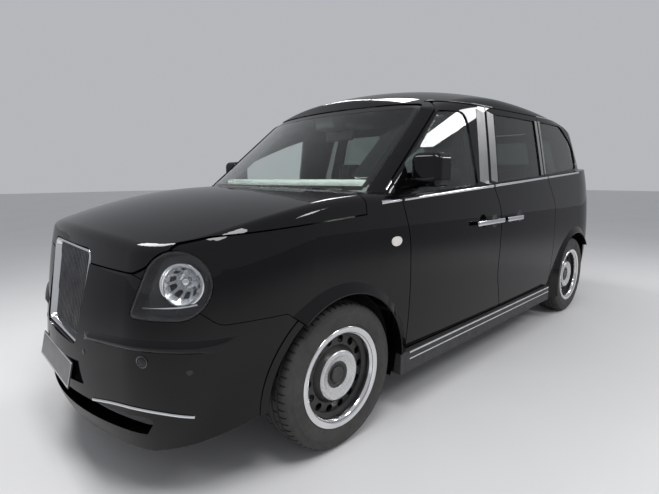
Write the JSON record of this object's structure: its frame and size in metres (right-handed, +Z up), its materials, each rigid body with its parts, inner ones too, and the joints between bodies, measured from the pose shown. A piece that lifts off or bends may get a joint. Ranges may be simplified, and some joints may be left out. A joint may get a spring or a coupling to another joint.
{
  "type": "taxi cab",
  "caption": "Full-size black taxi cab with rear-hinged rear doors, steered front wheels, a partition and an opening tailgate.",
  "frame": {"origin": "road level under the middle of the bounding box", "axes": "+Z up, the car faces -Y, +X is the car's left side, metres"},
  "size_m": [2.036, 4.8574, 1.8879],
  "materials": {
    "body_paint": "gloss",
    "side_glass": "clear, faintly green",
    "tinted_glass": "dark tint",
    "bright_trim": "polished",
    "lamp_housing": "satin dark grey",
    "lens": "clear",
    "amber_lens": "clear amber",
    "red_lens": "clear red",
    "dark_plastic": "matt",
    "plate": "satin black, blank",
    "under_paint": "matt",
    "cast_alloy": "as cast",
    "cast_metal": "as cast",
    "dash_plastic": "pale grey, matt",
    "soft_black": "soft satin",
    "seat_cover": "matt",
    "tyre": "matt",
    "wheel_metal": "satin"
  },
  "bodies": {
    "body": {"roof_panel": "body_paint", "front_wings": "body_paint", "front_bumper": "body_paint", "rear_bumper": "body_paint", "body_side_left": "body_paint", "body_side_right": "body_paint", "quarter_windows": "tinted_glass", "windscreen": "side_glass", "partition_glass": "side_glass", "grille": "bright_trim", "headlamps": "lamp_housing", "headlamp_lenses": "lens", "side_repeaters": "amber_lens", "tail_lamps": "red_lens", "scuttle": "dark_plastic", "sill_steps": "dark_plastic", "number_plates": "plate", "floor_pan": "under_paint", "battery_pack": "cast_alloy", "engine_block": "cast_metal", "front_subframe": "under_paint", "rear_axle": "cast_metal", "dashboard": "dash_plastic", "driver_seat": "seat_cover", "driver_seat_box": "dark_plastic", "rear_bench": "seat_cover", "rear_bench_box": "dark_plastic", "partition": "dark_plastic", "folding_seats": "seat_cover"},
    "door_front_left": {"door_front_left": "body_paint", "glass_front_left": "side_glass", "mirror_left": "body_paint"},
    "door_front_right": {"door_front_right": "body_paint", "glass_front_right": "side_glass", "mirror_right": "body_paint"},
    "door_rear_left": {"door_rear_left": "body_paint", "glass_rear_left": "tinted_glass"},
    "door_rear_right": {"door_rear_right": "body_paint", "glass_rear_right": "tinted_glass"},
    "bonnet": {"bonnet": "body_paint"},
    "tailgate": {"tailgate": "body_paint", "glass_tailgate": "tinted_glass"},
    "knuckle_left": {"knuckle_left": "cast_metal"},
    "knuckle_right": {"knuckle_right": "cast_metal"},
    "steering_wheel": {"steering_wheel": "soft_black"},
    "wheel_front_left": {"tyre_front_left": "tyre", "rim_front_left": "wheel_metal"},
    "wheel_front_right": {"tyre_front_right": "tyre", "rim_front_right": "wheel_metal"},
    "wheel_rear_left": {"tyre_rear_left": "tyre", "rim_rear_left": "wheel_metal"},
    "wheel_rear_right": {"tyre_rear_right": "tyre", "rim_rear_right": "wheel_metal"}
  },
  "joints": [
    {"name": "door_front_left_hinge", "type": "hinge", "parent": "body", "child": "door_front_left", "pos_m": [0.926, -1.056, 0.8], "axis": [0, 0, -1], "range_deg": [0, 65]},
    {"name": "door_rear_left_hinge", "type": "hinge", "parent": "body", "child": "door_rear_left", "pos_m": [0.926, 0.985, 0.8], "axis": [0, 0, 1], "range_deg": [0, 90]},
    {"name": "door_front_right_hinge", "type": "hinge", "parent": "body", "child": "door_front_right", "pos_m": [-0.926, -1.056, 0.8], "axis": [0, 0, 1], "range_deg": [0, 65]},
    {"name": "door_rear_right_hinge", "type": "hinge", "parent": "body", "child": "door_rear_right", "pos_m": [-0.926, 0.985, 0.8], "axis": [0, 0, -1], "range_deg": [0, 90]},
    {"name": "bonnet_hinge", "type": "hinge", "parent": "body", "child": "bonnet", "pos_m": [0, -1.25, 1.17], "axis": [-1, 0, 0], "range_deg": [0, 55]},
    {"name": "tailgate_hinge", "type": "hinge", "parent": "body", "child": "tailgate", "pos_m": [0, 2.075, 1.702], "axis": [1, 0, 0], "range_deg": [0, 85]},
    {"name": "steer_left", "type": "hinge", "parent": "body", "child": "knuckle_left", "pos_m": [0.7, -1.47, 0.345], "axis": [0, 0, 1], "range_deg": [-45, 45]},
    {"name": "spin_front_left", "type": "hinge", "parent": "knuckle_left", "child": "wheel_front_left", "pos_m": [0.8, -1.47, 0.345], "axis": [1, 0, 0], "continuous": true},
    {"name": "spin_rear_left", "type": "hinge", "parent": "body", "child": "wheel_rear_left", "pos_m": [0.8, 1.515, 0.345], "axis": [1, 0, 0], "continuous": true},
    {"name": "steer_right", "type": "hinge", "parent": "body", "child": "knuckle_right", "pos_m": [-0.7, -1.47, 0.345], "axis": [0, 0, 1], "range_deg": [-45, 45]},
    {"name": "spin_front_right", "type": "hinge", "parent": "knuckle_right", "child": "wheel_front_right", "pos_m": [-0.8, -1.47, 0.345], "axis": [1, 0, 0], "continuous": true},
    {"name": "spin_rear_right", "type": "hinge", "parent": "body", "child": "wheel_rear_right", "pos_m": [-0.8, 1.515, 0.345], "axis": [1, 0, 0], "continuous": true},
    {"name": "steering_wheel_turn", "type": "hinge", "parent": "body", "child": "steering_wheel", "pos_m": [-0.37, -0.64, 1.015], "axis": [0, 0.9063, 0.4226], "range_deg": [-540, 540]}
  ],
  "couplings": [
    {"joint": "steer_right", "follows": "steer_left", "ratio": 1},
    {"joint": "steering_wheel_turn", "follows": "steer_left", "ratio": 12}
  ]
}
